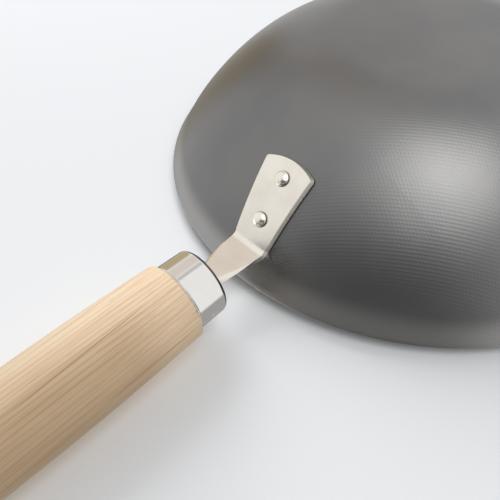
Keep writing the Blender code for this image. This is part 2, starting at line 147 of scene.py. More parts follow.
# %% Any other node
class Nodes:
    """A node tree, and one method that adds a node to it."""

    def __init__(self, tree):
        self.tree = tree

    def feed(self, node, values):
        """Sets or links the sockets of a node."""
        for name, value in values.items():
            if isinstance(value, Maths):
                self.tree.links.new(value.socket, node.inputs[name])
            else:
                node.inputs[name].default_value = value

    def node(self, kind, settings=None, values=None, output=0):
        made = self.tree.nodes.new("ShaderNode" + kind)
        for name, value in (settings or {}).items():
            setattr(made, name, value)
        self.feed(made, values or {})
        return Maths(self, made.outputs[output])

    def vector(self, operation, first, second=(0.0, 0.0, 0.0), output=0):
        return self.node("VectorMath", {"operation": operation}, {0: first, 1: second}, output)

    def axes(self, vector):
        return [self.node("SeparateXYZ", None, {0: vector}, axis) for axis in "XYZ"]

    def smooth(self, value, low, high):
        """0 below low, 1 above high, and a smooth climb between them."""
        return self.node("MapRange", {"interpolation_type": "SMOOTHSTEP"},
                         {"Value": value, "From Min": low, "From Max": high})

    def fall(self, value, low, high):
        """1 below low, 0 above high, and a smooth fall between them."""
        return 1.0 - self.smooth(value, low, high)

    def band(self, value, middle, inner, outer):
        """1 within inner of the middle, 0 beyond outer, and a smooth fall between them."""
        return self.fall(abs(value - middle), inner, outer)

    def noise(self, vector, scale, detail):
        return self.node("TexNoise", None, {"Vector": vector, "Scale": scale,
                                            "Detail": detail}, "Fac")

    def mix(self, share, first, second, way="MIX"):
        """Two colours mixed. The node's colour sockets are numbers 6 and 7."""
        colours = [value if isinstance(value, Maths) else (*value, 1.0)
                   for value in (first, second)]
        return self.node("Mix", {"data_type": "RGBA", "blend_type": way},
                         {0: share, 6: colours[0], 7: colours[1]}, 2)

    def layers(self, ground, *layers):
        """A ground colour with others laid over it in turn, each with its share."""
        for share, colour, *way in layers:
            ground = self.mix(share, ground, colour, *way)
        return ground


# %% A material and its shader
class Finish(Nodes):
    """A material whose Principled shader is fed by the nodes that are added to it."""

    def __init__(self, name):
        self.material = bpy.data.materials.new(name)
        self.material.use_nodes = True
        super().__init__(self.material.node_tree)
        self.shader = self.tree.nodes["Principled BSDF"]
        self.place = self.node("TexCoord", output="Object")

    def bump(self, height, distance):
        return self.node("Bump", None, {"Height": height, "Distance": distance})

    def give(self, values):
        """Feeds the shader's own sockets, which completes the material."""
        self.feed(self.shader, values)
        print("finish", self.material.name, "has", len(self.tree.nodes), "nodes")
        return self.material


# %% [markdown]
# ## Light
#
# The world is white for the camera. For reflections it is a bright room whose handle side is
# dark round the horizon, and a little warm on the window side. Polished metal has no look of
# its own, and gets its contrast from there. The three numbers of a direction run from -1 to 1.
# Each share is 1 in one part of the room and 0 elsewhere, with a soft edge between two numbers.

# %% The room in reflections
ROOM_BRIGHT = 0.97         # strength of most of the room
ROOM_DARK = 0.09           # strength of the dark side, towards +X
HORIZON_GLOW = 0.49        # a light strip just under the horizon of the dark side
GLOW_LOSS = 0.35           # how much of that strip is lost towards -Y
TABLE_SHADE = 0.40         # strength of the room above the horizon, where the table is
FAR_END_LOSS = 0.22        # how much darker the far end is, seen along the handle
DARK_SPOT = (-0.50, 0.52, 0.69)     # a dark thing that outlines the ferrule's front edge
ROOM_SHELF = 0.62          # a grey shelf below, on the handle's far side

world = bpy.data.worlds.new("studio")
world.use_nodes = True
bpy.context.scene.world = world
room = Nodes(world.node_tree)
direction = room.node("TexCoord", output="Generated")
room_x, room_y, room_z = room.axes(direction)
dark_share = (room.smooth(room_x, -0.01, 0.53) * room.band(room_z, 0.0, 0.45, 0.80)
              * room.fall(room_y, 0.0, 0.32))
glow_share = (room.band(room_z, -0.08, 0.02, 0.12)
              * (1.0 - room.smooth(0.0 - room_y, 0.60, 0.90) * GLOW_LOSS))
lit_table = room.smooth(room_x, -0.22, -0.08) * room.smooth(0.0 - room_y, 0.42, 0.60)
shade_share = room.smooth(room_z, 0.30, 0.46) * (1.0 - lit_table)
end_share = room.smooth(room_x, 0.74, 0.90) * room.band(room_y, 0.45, 0.12, 0.24)
spot_share = room.smooth(room.vector("DOT_PRODUCT", direction, DARK_SPOT, "Value"), 0.90, 0.96)
shelf_share = (room.smooth(room_y, 0.10, 0.16) * room.fall(room_y, 0.26, 0.34)
               * room.smooth(0.0 - room_z, 0.80, 0.88) * room.fall(room_x, -0.22, -0.10))
reflected = between(ROOM_BRIGHT, TABLE_SHADE, shade_share) * (1.0 - end_share * FAR_END_LOSS)
reflected = between(reflected, ROOM_DARK, spot_share)
reflected = between(reflected, ROOM_SHELF, shelf_share)
reflected = between(reflected, ROOM_DARK + HORIZON_GLOW * glow_share, dark_share)
print("room has", len(world.node_tree.nodes), "nodes")

# %% [markdown]
# Matt surfaces get a plain soft light instead, which is only a little stronger towards the
# window. The Light Path node tells the two kinds of rays apart, and the camera's rays as well.

# %% The world's light and colours
WORLD_FILL = 0.43          # strength for matt surfaces
FILL_SIDE = 0.50           # how much stronger that is towards the window, +Y
WHITE = (1.0, 1.0, 1.0)
ROOM_WARM = (0.55, 0.44, 0.27)
ROOM_SOFT = (0.80, 0.73, 0.68)
ROOM_COOL = (0.965, 0.985, 1.0)
TABLE_GLOW = (1.0, 0.93, 0.86)      # light that comes back from the table is warm

ray_camera = room.node("LightPath", output="Is Camera Ray")
ray_glossy = room.node("LightPath", output="Is Glossy Ray")
matt_level = WORLD_FILL + room_y * (WORLD_FILL * FILL_SIDE)
strength = between(between(matt_level, reflected, ray_glossy), 1.0, ray_camera)
warm_share = (room.smooth(room_y, 0.78, 0.90) * room.band(room_z, 0.0, 0.28, 0.55)
              * room.band(room_x, -0.34, 0.12, 0.26))
soft_share = (room.smooth(room_y, 0.20, 0.50) * room.fall(room_x, -0.22, 0.02)
              * room.smooth(0.0 - room_z, 0.30, 0.60))
matt_colour = room.mix(room.smooth(room_z, -0.1, 0.5), ROOM_COOL, TABLE_GLOW)
mirror_colour = room.layers(WHITE, (warm_share, ROOM_WARM), (soft_share, ROOM_SOFT))
room_colour = room.mix(ray_glossy, matt_colour, mirror_colour)
room.feed(world.node_tree.nodes["Background"],
          {"Color": room.mix(ray_camera, room_colour, WHITE), "Strength": strength})
print("world has", len(world.node_tree.nodes), "nodes")

# %% [markdown]
# Five square lamps stand round the object. The ones from below light the side that the
# photograph shows. A lamp's power says little about how bright a thing gets, so the helper
# works the power out from the light that has to arrive and from the distance.

# %% The lamps
AIM = Vector((0.04, 0.0, 0.04))
KEY_SIDE = (0.14, -0.42, -0.89)
WINDOW_SIDE = (-0.24, 0.78, -0.58)
GRIP_SHADED_SIDE = (0.10, -0.97, -0.10)
ABOVE = (0.35, 0.45, 0.82)


def add_lamp(name, direction, irradiance, distance, size, matt=True, mirrored=True):
    """A square lamp that gives an irradiance at the aim, from a direction seen from there."""
    data = bpy.data.lights.new(name, "AREA")
    data.energy = irradiance * math.pi * distance ** 2
    data.size = size
    lamp = add_object(name, data)
    lamp.location = AIM + Vector(direction).normalized() * distance
    lamp.rotation_euler = (AIM - lamp.location).to_track_quat("-Z", "Y").to_euler()
    lamp.visible_camera = False
    lamp.visible_diffuse = matt
    lamp.visible_glossy = mirrored
    print("lamp", name, "gives", irradiance, "at", round(distance, 2), "m")
    return lamp


# The numbers are the irradiance, the distance and the size.
add_lamp("under_key", KEY_SIDE, 1.30, 1.30, 0.80, mirrored=False)
under_gleam = add_lamp("under_gleam", KEY_SIDE, 2.1, 1.30, 0.60, matt=False)
add_lamp("under_window", WINDOW_SIDE, 2.0, 1.50, 1.00, mirrored=False)
grip_side = add_lamp("grip_side", GRIP_SHADED_SIDE, 0.50, 1.30, 0.90, mirrored=False)
add_lamp("upper_key", ABOVE, 2.3, 2.60, 2.60)

# %% [markdown]
# ## Floor and table
#
# The pot has to look right in two ways: upright on a floor, and upside down on a table as in
# the photograph. One floor can't do both. So there is a floor under the base that is seen
# only from above, and a tilted table over the rim that is seen only from below. Both are
# there for the camera alone, so that neither takes light away from the pot.

# %% Surfaces that only the camera sees
def camera_only(name, colour, fade_from, fade_to):
    """A matt material for camera rays on its front side. It fades out away from its middle."""
    material = bpy.data.materials.new(name)
    material.use_nodes = True
    nodes = Nodes(material.node_tree)
    seen = nodes.node("LightPath", output="Is Camera Ray")
    back = nodes.node("NewGeometry", output="Backfacing")
    place = nodes.node("TexCoord", output="Object")
    distance = nodes.vector("LENGTH", place, output="Value")
    shown = seen * (1.0 - back) * nodes.fall(distance, fade_from, fade_to)
    matt = nodes.node("BsdfDiffuse", None, {"Color": (*colour, 1.0)})
    clear = nodes.node("BsdfTransparent")
    mixed = nodes.node("MixShader", None, {0: shown, 1: clear, 2: matt})
    nodes.feed(material.node_tree.nodes["Material Output"], {"Surface": mixed})
    return material


# %% A disc of the stage
STAGE_RADIUS = 1.05
STAGE_GAP = 0.0003         # room between the stage and the pot


def mesh_of(name, bm):
    """Turns a bmesh into a mesh."""
    mesh = bpy.data.meshes.new(name)
    bm.to_mesh(mesh)
    bm.free()
    return mesh


def add_disc(name, matrix, material):
    bm = bmesh.new()
    bmesh.ops.create_circle(bm, cap_ends=True, segments=96, radius=STAGE_RADIUS)
    disc = add_object(name, mesh_of(name, bm))
    disc.data.materials.append(material)
    disc.matrix_world = matrix
    print("stage", name, "at height", round(matrix.translation.z, 4))


# %% The floor under the base
floor_paper = camera_only("floor_paper", (0.90, 0.90, 0.90), fade_from=0.40, fade_to=1.00)
add_disc("floor", Matrix.Translation((0.0, 0.0, -STAGE_GAP)), floor_paper)

# %% [markdown]
# The upside-down pot touches the table at two places: the rim's edge far from the handle, and
# the grip. So the table's slope is that of the line that lies on both.

# %% The table over the rim
def heights_of(node):
    return [(vert.co.x, vert.co.z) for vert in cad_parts[node].data.vertices]


pot_heights = heights_of("pot_body")
grip_heights = heights_of("wooden_grip")
rim_x, rim_z = max(pot_heights, key=lambda place: place[1] - place[0])
table_slope = max((z - rim_z) / (x - rim_x) for x, z in grip_heights)
table_lift = max(z - rim_z - (x - rim_x) * table_slope for x, z in pot_heights + grip_heights)
table_turn = Matrix.Rotation(-math.atan(table_slope), 4, "Y") @ Matrix.Rotation(math.pi, 4, "X")
table_z = rim_z - rim_x * table_slope + max(table_lift, 0.0) + STAGE_GAP
table_paper = camera_only("table_paper", (0.81, 0.82, 0.835), fade_from=0.50, fade_to=1.00)
add_disc("table", Matrix.Translation((0.0, 0.0, table_z)) @ table_turn, table_paper)
print("table rises", round(math.degrees(math.atan(table_slope)), 2), "degrees")

# %% [markdown]
# ## The handle's own frame
#
# The handle rises a little, so its pieces are turned about an axis that isn't level. The
# washer and the cross pin are both round pieces on that axis, so the middles of their boxes
# give it. In the handle's frame, Z runs along the handle to its tail, X points to the side
# that faces the floor, and Y is level.

# %% Measure the handle
SEAT_GAP = 0.0003          # room between pieces that rest on each other


def middle(node):
    low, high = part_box(node)
    return (Vector(low) + Vector(high)) / 2


handle_along = (middle("tail_washer") - middle("ferrule_pin")).normalized()
handle_under = Vector((handle_along.z, 0.0, -handle_along.x))
pin_middle = middle("ferrule_pin")


def reach(node):
    """Lowest and highest station of a node along the handle, from the pin."""
    stations = [(vert.co - pin_middle).dot(handle_along)
                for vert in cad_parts[node].data.vertices]
    return min(stations), max(stations)


PIN_STATION = -reach("ferrule")[0]
handle_front = pin_middle - handle_along * PIN_STATION
handle_matrix = frame_at(handle_front, handle_under, Vector((0.0, 1.0, 0.0)), handle_along)
FERRULE_LENGTH = reach("ferrule")[1] + PIN_STATION
GRIP_START = FERRULE_LENGTH + SEAT_GAP
GRIP_END = reach("wooden_grip")[1] + PIN_STATION
HANDLE_RISE = math.atan2(handle_along.z, handle_along.x)
print("handle rises", round(math.degrees(HANDLE_RISE), 2), "degrees from",
      [round(value, 4) for value in handle_front])
print("ferrule", round(FERRULE_LENGTH * 1000, 2), "mm, grip ends at",
      round(GRIP_END * 1000, 2), "mm")

# %% [markdown]
# ## Finish of the pot: dark embossed iron
#
# Before the sheet was pressed into a bowl, a fine woven pattern was rolled into it. Pressing
# bends those straight lines with the sheet. So the pattern is drawn on the sheet as it lay
# flat: the direction from the middle stays, and the distance is the one along the metal. A
# straight line from the base's middle is close enough to that distance.
# Two families of lines cross in it. The rest is a cloudy tone, a fine grain, a lip painted
# lighter as a painted reflection of the bright table, and the cut edge, painted dark as shade
# and made rougher.

# %% Iron
WEAVE_PITCH = 0.00135
WEAVE_TURNS = (math.radians(56), math.radians(120))
IRON_COLOUR = (0.168, 0.168, 0.170)
IRON_PALE = (0.196, 0.194, 0.191)
IRON_LIP_REFLECTION = (0.325, 0.321, 0.313)
IRON_CUT_SHADE = (0.14, 0.138, 0.135)
LIP_FOLD = 0.0580          # height at which the wall folds into the lip
CUT_HEIGHTS = (0.0010, 0.0006)      # the cut face starts between these depths under the rim

iron = Finish("embossed_iron")
plan = iron.vector("NORMALIZE", iron.vector("MULTIPLY", iron.place, (1.0, 1.0, 0.0)))
from_middle = iron.vector("LENGTH", iron.place, output="Value")
weave_lines = []
for line_turn in WEAVE_TURNS:
    across = (-math.sin(line_turn), math.cos(line_turn), 0.0)
    flat_place = iron.vector("DOT_PRODUCT", plan, across, output="Value") * from_middle
    weave_lines.append((flat_place * (2 * math.pi / WEAVE_PITCH)).sine())
first_lines, second_lines = weave_lines
weave = first_lines * 0.55 + second_lines * 0.30 + first_lines * second_lines * 0.35
cloud = iron.noise(iron.place, 22.0, 3.0)
worn = 0.55 + iron.noise(iron.place, 60.0, 2.0) * 0.9
grain = iron.noise(iron.place, 1900.0, 2.0)
height_z = iron.axes(iron.place)[2]
# Painted reflection: the lip is painted lighter, for the bright table that it reflects.
lip_reflection_share = iron.smooth(height_z, LIP_FOLD - 0.0030, LIP_FOLD + 0.0060)
rim_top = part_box("pot_body")[1][2]
# Painted shade: the cut face under the rim is painted dark. It is also rougher.
cut_face = iron.smooth(height_z, rim_top - CUT_HEIGHTS[0], rim_top - CUT_HEIGHTS[1])
tone = iron.layers(IRON_COLOUR,
                   (iron.smooth(cloud, 0.35, 0.70), IRON_PALE),
                   (iron.smooth(grain, 0.35, 0.75) * 0.25, IRON_PALE),
                   (lip_reflection_share, IRON_LIP_REFLECTION),
                   (cut_face * 0.75, IRON_CUT_SHADE))
embossed_iron = iron.give({
    "Base Color": tone,
    "Metallic": 0.90,
    "Roughness": 0.32 + cloud * 0.06 + cut_face * 0.12,
    "Normal": iron.bump(weave * worn + grain * 0.35, 0.000012)})

# %% [markdown]
# ## Finish of the bracket and rivets: satin steel
#
# The bracket is stamped steel with a thin warm plating. It isn't mirror bright: very fine
# tumbling marks blur what it reflects. A rivet head was struck by a hammer, so it gets the
# same metal with a livelier surface. The corner round a rivet head, where it meets the plate, is
# painted dark as shade. The head's mesh will hold an attribute that says where.

# %% Satin steel
SATIN_COLOUR = (0.87, 0.825, 0.745)
SATIN_DULL = (0.81, 0.76, 0.68)
CORNER_SHADE_COLOUR = (0.08, 0.075, 0.07)


def satin_finish(name, roughness, dents):
    satin = Finish(name)
    haze = satin.noise(satin.place, 90.0, 3.0)
    marks = satin.noise(satin.place, 2600.0, 2.0)
    hollow = satin.noise(satin.place, 420.0, 1.0)
    # Painted shade in the corner round a rivet head, where its mesh sets this attribute.
    attribute = satin.node("Attribute", {"attribute_name": "corner_shade"}, output="Fac")
    corner = satin.smooth(attribute, 0.15, 0.75)
    return satin.give({
        "Base Color": satin.layers(SATIN_COLOUR,
                                   (satin.smooth(haze, 0.35, 0.70), SATIN_DULL),
                                   (corner * 0.85, CORNER_SHADE_COLOUR)),
        "Metallic": 1.0,
        "Roughness": roughness + haze * 0.10 + marks * 0.04 + corner * 0.15,
        "Normal": satin.bump(marks * 0.25 + hollow * dents, 0.00002)})


satin_steel = satin_finish("satin_steel", 0.24, 0.8)
struck_steel = satin_finish("struck_steel", 0.17, 1.2)

# %% [markdown]
# ## Finish of the ferrule: polished steel
#
# The ferrule is a drawn cup, polished while it turns. It reflects like a mirror, with faint
# rings round its axis from the polishing wheel, and a few finger-dull patches. A thin black
# line round its front corner is a painted reflection of a dark gap.

# %% Polished steel
POLISHED_COLOUR = (0.815, 0.80, 0.775)
POLISHED_DULL = (0.78, 0.765, 0.74)
EDGE_REFLECTION_BLACK = (0.02, 0.02, 0.02)


def in_handle_frame(finish):
    """Object coordinates turned into the handle's frame."""
    return finish.node("Mapping", {"vector_type": "TEXTURE"},
                       {"Vector": finish.place, "Location": handle_front,
                        "Rotation": handle_matrix.to_euler()})


def drawn_along(finish, place, share):
    """Coordinates that draw a pattern out along the handle, by one over the share."""
    return finish.vector("MULTIPLY", place, (1.0, 1.0, share))


polish = Finish("polished_steel")
turned_place = in_handle_frame(polish)
ring_place = polish.vector("MULTIPLY", turned_place, (0.02, 0.02, 1.0))
rings = polish.noise(ring_place, 9000.0, 2.0)
dull = polish.smooth(polish.noise(turned_place, 130.0, 3.0), 0.45, 0.75)
across_x, across_y, station_z = polish.axes(turned_place)
from_axis = (across_x * across_x + across_y * across_y) ** 0.5
# Painted reflection: a thin dark line round the front corner.
front_edge_reflection = polish.fall(station_z, 0.0012, 0.0019) * polish.smooth(from_axis, 0.0116, 0.0128)
polished_steel = polish.give({
    "Base Color": polish.layers(POLISHED_COLOUR, (dull * 0.4, POLISHED_DULL),
                                (front_edge_reflection * 0.92, EDGE_REFLECTION_BLACK)),
    "Metallic": 1.0,
    "Roughness": 0.075 + dull * 0.05 + rings * 0.02 + front_edge_reflection * 0.2,
    "Normal": polish.bump(rings, 0.000003)})

# %% [markdown]
# ## Finish of the grip: plain turned wood
#
# The grip is pale, close-grained wood without varnish. Wood is rings round a pith, and the
# grip is cut from beside it. So the rings are distances from a line that runs outside the
# grip, nearly along it. Bent a little by noise, they come out as long lines on the sides and
# as arcs on the end. Short dark pores and a soft change of tone are laid over them. The wood
# is painted darker towards the tail, and on its shaded side, as painted shade. One thin drying
# check, a hairline crack, runs along the side that faces the floor.

# %% The wood's rings, streaks and pores
RING_PITCH = 0.0019

wood = Finish("turned_wood")
grip_place = in_handle_frame(wood)
long_place = drawn_along(wood, grip_place, 0.030)
warp = wood.noise(long_place, 70.0, 2.0)
grip_x, grip_y, grip_z = wood.axes(grip_place)
pith_x = grip_x - 0.050 + grip_z * 0.012
pith_y = grip_y - 0.060 + grip_z * 0.010
from_pith = (pith_x * pith_x + pith_y * pith_y) ** 0.5 + warp * 0.0045
ring_wave = (from_pith * (2 * math.pi / RING_PITCH)).sine() * 0.5 + 0.5
late = wood.smooth(ring_wave, 0.66, 0.98)
patch = wood.smooth(wood.noise(long_place, 75.0, 1.0), 0.38, 0.66) * 0.8 + 0.2
streak_place = drawn_along(wood, grip_place, 0.012)
streaks = wood.noise(streak_place, 700.0, 3.0)
fine_streaks = wood.noise(streak_place, 1600.0, 2.0)
dark_line = wood.smooth(wood.noise(streak_place, 420.0, 1.0), 0.67, 0.72)
pore_place = drawn_along(wood, grip_place, 0.060)
pores = wood.smooth(wood.noise(pore_place, 2300.0, 1.0), 0.66, 0.80)
soft_tone = wood.noise(long_place, 45.0, 2.0)
print("wood has rings", RING_PITCH * 1000, "mm apart")

# %% The drying check and the painted shade
CHECK_PLACE = -0.0027
CHECK_HALF = (0.00010, 0.00032)     # half the crack's width, without and with its soft edge

check_line = grip_y + grip_z * 0.046 + warp * 0.0010
along_line = wood.smooth(grip_z, 0.026, 0.042) * wood.fall(grip_z, 0.075, 0.095)
check = wood.band(check_line, CHECK_PLACE, *CHECK_HALF) * wood.smooth(grip_x, 0.0, 0.004)
check = check * along_line
# Painted shade: the wood is darker towards the tail.
tail_shade_share = wood.smooth(grip_z, 0.012, 0.100)
# Painted shade: the wood is darker on the grip's -Y side, which lies in shade.
shaded_side_share = (wood.smooth(grip_z + warp * 0.008, 0.028, 0.052)
              * wood.smooth(0.0 - grip_y + warp * 0.004, 0.0035, 0.0115))
print("check is", 2 * CHECK_HALF[1] * 1000, "mm wide")

# %% Wood
WOOD_PALE = (0.895, 0.725, 0.525)
WOOD_WARM = (0.86, 0.655, 0.45)
WOOD_LATE = (0.63, 0.39, 0.215)
WOOD_DARK = (0.38, 0.22, 0.12)
TAIL_SHADE_COLOUR = (0.79, 0.78, 0.76)    # the colour is multiplied by this, and by the next
SHADED_SIDE_COLOUR = (0.79, 0.76, 0.71)

grain_tone = wood.layers(WOOD_PALE,
                         (wood.smooth(soft_tone, 0.30, 0.72), WOOD_WARM),
                         (late * patch * 0.40, WOOD_LATE),
                         (wood.smooth(streaks, 0.52, 0.64) * 0.26, WOOD_LATE),
                         (wood.smooth(fine_streaks, 0.50, 0.60) * 0.26, WOOD_LATE),
                         (tail_shade_share, TAIL_SHADE_COLOUR, "MULTIPLY"),
                         (shaded_side_share, SHADED_SIDE_COLOUR, "MULTIPLY"),
                         (dark_line * 0.42, WOOD_DARK),
                         (pores * 0.28, WOOD_DARK),
                         (check * 0.72, WOOD_DARK))
turned_wood = wood.give({
    "Base Color": grain_tone,
    "Roughness": 0.56 + streaks * 0.12,
    "IOR": 1.45,
    "Normal": wood.bump(0.0 - late * 0.4 - pores - dark_line - check - streaks * 0.6, 0.00005)})

# %% [markdown]
# ## Finish of the hidden steel
#
# The rod and its small rivet can be seen only down the grip's socket or through the front of
# the ferrule. They stay as the engineering model made them. Their steel is plain and drawn,
# with lines along the rod.

# %% Drawn steel on the nodes that stay
DRAWN_COLOUR = (0.56, 0.55, 0.54)
DRAWN_STAIN = (0.40, 0.37, 0.34)

drawn = Finish("drawn_steel")
drawn_place = in_handle_frame(drawn)
draw_lines = drawn.noise(drawn_along(drawn, drawn_place, 0.03), 2400.0, 2.0)
stain = drawn.smooth(drawn.noise(drawn_place, 180.0, 3.0), 0.40, 0.75)
drawn_steel = drawn.give({
    "Base Color": drawn.mix(stain * 0.5, DRAWN_COLOUR, DRAWN_STAIN),
    "Metallic": 1.0,
    "Roughness": 0.30 + stain * 0.15 + draw_lines * 0.08,
    "Normal": drawn.bump(draw_lines, 0.000008)})
for node in ("tang_rod", "tang_rivet"):
    for material_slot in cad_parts[node].material_slots:
        material_slot.material = drawn_steel
    print("node", node, "keeps its shape and gets", drawn_steel.name)

# %% [markdown]
# ## How a piece is kept
#
# Every new piece does the same three things: its bmesh becomes an object, it rides on the root
# body, and it stands for the node it replaces. Two modifiers come back as well: Solidify for the
# wall of a shell, and Bevel for a cut edge.

# %% Keep a piece
def keep(name, bm, material, slot, *nodes):
    bm.normal_update()
    mesh = mesh_of(name, bm)
    mesh.shade_smooth()
    mesh.materials.append(material)
    piece = add_object(name, mesh)
    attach(piece, "root")
    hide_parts(*nodes)
    print("piece", name, "has", len(mesh.polygons), "faces before its modifiers")
    return piece


def give_wall(piece, name, thickness):
    """Gives an open shell its thickness, inwards."""
    wall = piece.modifiers.new(name, "SOLIDIFY")
    wall.thickness = thickness
    wall.offset = -1.0
    return wall


def break_edges(piece, name, width):
    """Rounds the sharp edges of a piece a little."""
    edge = piece.modifiers.new(name, "BEVEL")
    edge.width = width
    edge.segments = 3
    edge.limit_method = "ANGLE"
    edge.angle_limit = math.radians(50)
    return edge


# %% [markdown]
# ## How a round piece is made
#
# Most of the pieces are round, so they are made as on a lathe. A line of edges through points
# of a radius and a height is spun about Z, its seam and its poles are closed, and then the
# shape is put in its place. An open shell gets its thickness later, inwards. So its outside has
# to be known first: that is where its lowest face points down.

# %% Turn a round piece
def turned(outline, steps, matrix=Matrix(), shell=False):
    """A bmesh of an outline of (radius, height) points, spun once about Z."""
    bm = bmesh.new()
    verts = [bm.verts.new((radius, 0.0, height)) for radius, height in outline]
    for pair in zip(verts, verts[1:]):
        bm.edges.new(pair)
    bmesh.ops.spin(bm, geom=bm.verts[:] + bm.edges[:], axis=(0.0, 0.0, 1.0),
                   cent=(0.0, 0.0, 0.0), steps=steps, angle=2 * math.pi, use_merge=True)
    bmesh.ops.remove_doubles(bm, verts=bm.verts, dist=0.000001)
    bmesh.ops.recalc_face_normals(bm, faces=bm.faces)
    lowest = min(bm.faces, key=lambda face: face.calc_center_median().length)
    if shell and lowest.normal.z > 0.0:
        bmesh.ops.reverse_faces(bm, faces=bm.faces)
    bmesh.ops.transform(bm, matrix=matrix, verts=bm.verts)
    return bm


def dome_line(radius, height, base, step):
    """Points of a dome's outline from its crown to its edge, a step of degrees apart."""
    turns = [math.radians(angle) for angle in range(90 - step, -1, -step)]
    return [(0.0, base + height)] + [(radius * math.cos(turn), base + height * math.sin(turn))
                                     for turn in turns]


def only(kind, items):
    """The items of one kind, out of all that an operator returns."""
    return [item for item in items if isinstance(item, kind)]


def round_corner(radius, height, size, start, end, steps):
    """Points of an arc round (radius, height), between two angles in degrees."""
    angles = [math.radians(start + (end - start) * step / steps) for step in range(steps + 1)]
    return [(radius + size * math.cos(angle), height + size * math.sin(angle))
            for angle in angles]


# %% [markdown]
# ## The pot
#
# The bowl is round, so its outline is spun about Z. The outline is a flat base, a long curve
# up the wall, a soft fold, and a straight lip. The curve is one Bezier span, because a
# pressed wall has no corners in it. The skin gets its thickness inwards from a Solidify
# modifier, and a Bevel modifier then softens the cut edge of the rim.

# %% The pot's outline
RIM_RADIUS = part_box("pot_body")[1][1]
POT_DEPTH = 0.068
POT_SHEET = 0.0016
BASE_RADIUS = 0.046
BASE_FULLNESS = 0.555
WALL_SLOPE = math.radians(68)
WALL_FULLNESS = 0.065
LIP_WIDTH = 0.0063
LIP_SLOPE = math.radians(58.5)
LIP_FILLET = 0.006


def along(slope):
    """Direction up a slope in the XZ plane."""
    return Vector((math.cos(slope), 0.0, math.sin(slope)))


def outward(slope):
    """Direction square to a slope, out of the pot."""
    return Vector((math.sin(slope), 0.0, -math.cos(slope)))


fillet_run = LIP_FILLET * (math.sin(WALL_SLOPE) - math.sin(LIP_SLOPE))
fillet_rise = LIP_FILLET * (math.cos(LIP_SLOPE) - math.cos(WALL_SLOPE))
lip_height = fillet_rise + (LIP_WIDTH - fillet_run) * math.tan(LIP_SLOPE)
valley = Vector((RIM_RADIUS - LIP_WIDTH, 0.0, POT_DEPTH - lip_height))
base_edge = Vector((BASE_RADIUS, 0.0, 0.0))
base_handle = base_edge + Vector(((valley.x - BASE_RADIUS) * BASE_FULLNESS, 0.0, 0.0))
wall_handle = valley - along(WALL_SLOPE) * valley.z * WALL_FULLNESS
print("valley of the lip at", [round(value * 1000, 2) for value in valley], "mm")

# %% The pot's skin
BASE_RIM = 0.002           # a ring of edges this far inside the base's edge keeps it crisp
WALL_ROWS = 46
FOLD_ROWS = 14
FOLD_EASE = 0.4            # how far the fold follows the wall and the lip before it turns
LIP_STRAIGHT = 0.0052      # straight part of the lip, next to the rim
POT_STEPS = 240
CUT_EDGE = 0.0002

wall_rows = geometry.interpolate_bezier(base_edge, base_handle, wall_handle, valley, WALL_ROWS)
outline = [(0.0, 0.0), (BASE_RADIUS * 0.5, 0.0), (BASE_RADIUS - BASE_RIM, 0.0)]
rim_edge = Vector((RIM_RADIUS, 0.0, POT_DEPTH))
lip_along = along(LIP_SLOPE)
blend_start = wall_rows[-3]
blend_end = rim_edge - lip_along * LIP_STRAIGHT
wall_along = (wall_rows[-2] - wall_rows[-4]).normalized()
blend_reach = (blend_end - blend_start).length * FOLD_EASE
fold = geometry.interpolate_bezier(blend_start, blend_start + wall_along * blend_reach,
                                   blend_end - lip_along * blend_reach, blend_end, FOLD_ROWS)
outline += [(place.x, place.z) for place in wall_rows[:-3] + fold]
outline += [(place.x, place.z) for place in (blend_end.lerp(rim_edge, 0.5), rim_edge)]
bm = turned(outline, POT_STEPS, shell=True)
pot = keep("iron_bowl", bm, embossed_iron, "pot_iron", "pot_body")
give_wall(pot, "sheet", POT_SHEET).use_even_offset = True
break_edges(pot, "cut_edge", CUT_EDGE)

# %% [markdown]
# ## Along the wall
#
# The bracket lies on the wall, so its rows are placed by their distance down the wall from
# the lip's fold. A fine copy of the wall's curve is walked once, and each step keeps the
# distance, the point and the slope.

# %% Points and slopes down the wall
WALK_POINTS = 401

down_line = geometry.interpolate_bezier(base_edge, base_handle, wall_handle, valley,
                                        WALK_POINTS)
down_line.reverse()
wall_walk = []
walked = 0.0
for upper, lower in zip(down_line, down_line[1:]):
    wall_walk.append((walked, upper, math.atan2(upper.z - lower.z, upper.x - lower.x)))
    walked += (upper - lower).length


def wall_at(distance):
    """Point and slope of the wall's outer side at a distance down from the fold."""
    for (start, point, slope), (end, next_point, next_slope) in zip(wall_walk, wall_walk[1:]):
        if end >= distance:
            share = (distance - start) / (end - start)
            return point.lerp(next_point, share), between(slope, next_slope, share)
    return wall_walk[-1][1], wall_walk[-1][2]


print("wall is", round(walked * 1000, 1), "mm long")

# %% [markdown]
# ## The bracket
#
# The bracket is one strip of steel: a plate on the wall, a bend, a neck whose edges are
# rolled up, and a narrow tab that goes into the ferrule. A strip is a grid, so the piece
# starts as a flat grid whose rows run along it and whose columns run across it. Each vertex
# is then moved to its place on the bent strip.

# %% The bracket's sizes
BRACKET_SHEET = 0.0020
PLATE_LENGTH = 0.0373
PLATE_CROWN = 0.0031
PLATE_END_WIDTH = 0.0248
PLATE_START = 0.0048
NECK_WIDTH = 0.0178
NECK_END_WIDTH = 0.0144
NECK_LENGTH = 0.0259
NECK_SHAPED = 7 / 8        # share of the neck along which its edges roll up more and more
NECK_FLAT_HALF = 0.0034
EDGE_ROLL = 0.0028
ROLL_ONSET = 1.2
BEND_RADIUS = 0.0040
CHANNEL_GAP = 0.0005
TAB_HALF_WIDTH = 0.0030
TAB_DEPTH = 0.0060
RIVET_PLACES = {"upper_rivet": 0.0123, "lower_rivet": 0.0319}

